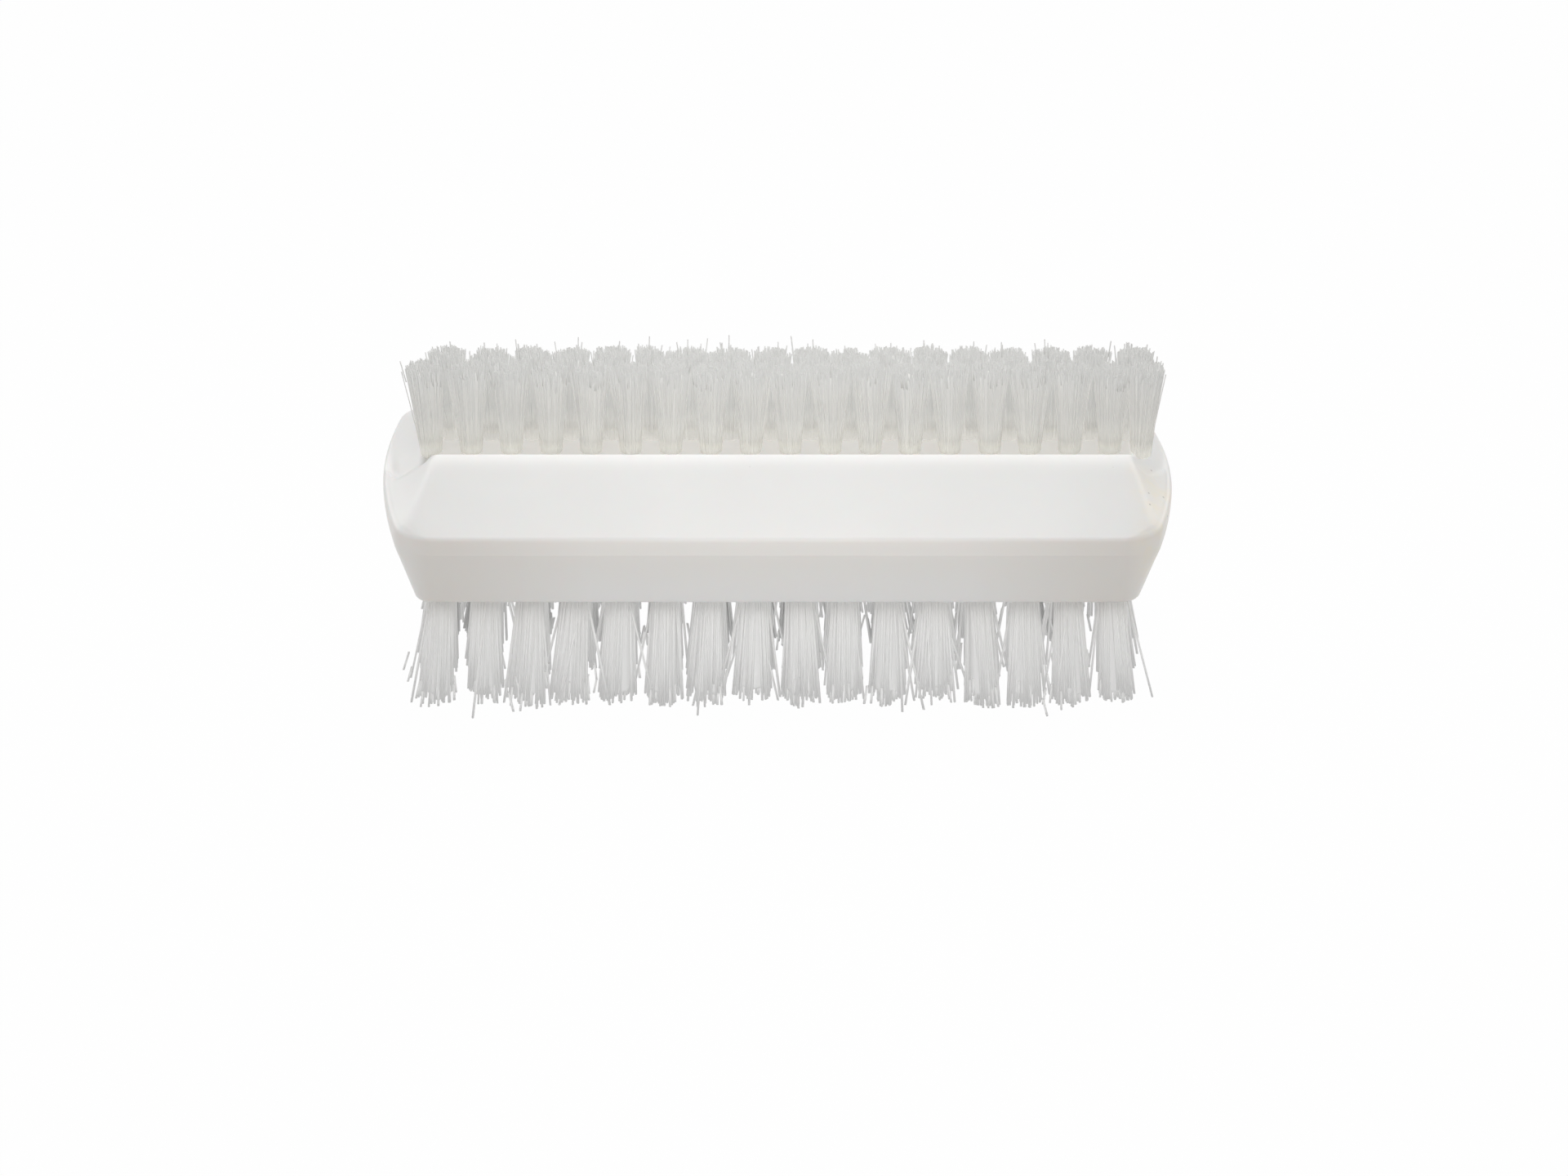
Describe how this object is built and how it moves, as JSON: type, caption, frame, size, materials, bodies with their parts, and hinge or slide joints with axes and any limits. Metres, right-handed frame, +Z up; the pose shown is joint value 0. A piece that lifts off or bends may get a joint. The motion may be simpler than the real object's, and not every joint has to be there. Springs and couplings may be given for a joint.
{
  "type": "nail brush",
  "caption": "Two-sided nail brush: white moulded block with finer tufts on its roof-shaped crest and stiff tufts under its flat bristle face.",
  "frame": {"origin": "on the standing plane of the lower bristle tips, under the middle of the block", "axes": "+Z up towards the crest tufts, +X along the block, -Y towards the viewer of the picture"},
  "size_m": [0.118, 0.049, 0.0486],
  "materials": {
    "block_plastic": "moulded, semi-gloss white",
    "soft_bristle": "fine translucent filament, off-white",
    "stiff_bristle": "coarse translucent filament, cold white",
    "anchor_wire": "drawn flat wire"
  },
  "bodies": {
    "root": {"brush_block": "block_plastic", "upper_tufts_front": "soft_bristle", "upper_tufts_rear": "soft_bristle", "lower_tufts_front": "stiff_bristle", "lower_tufts_mid_front": "stiff_bristle", "lower_tufts_mid_rear": "stiff_bristle", "lower_tufts_rear": "stiff_bristle", "upper_anchors_front": "anchor_wire", "upper_anchors_rear": "anchor_wire", "lower_anchors_front": "anchor_wire", "lower_anchors_mid_front": "anchor_wire", "lower_anchors_mid_rear": "anchor_wire", "lower_anchors_rear": "anchor_wire"}
  },
  "joints": []
}
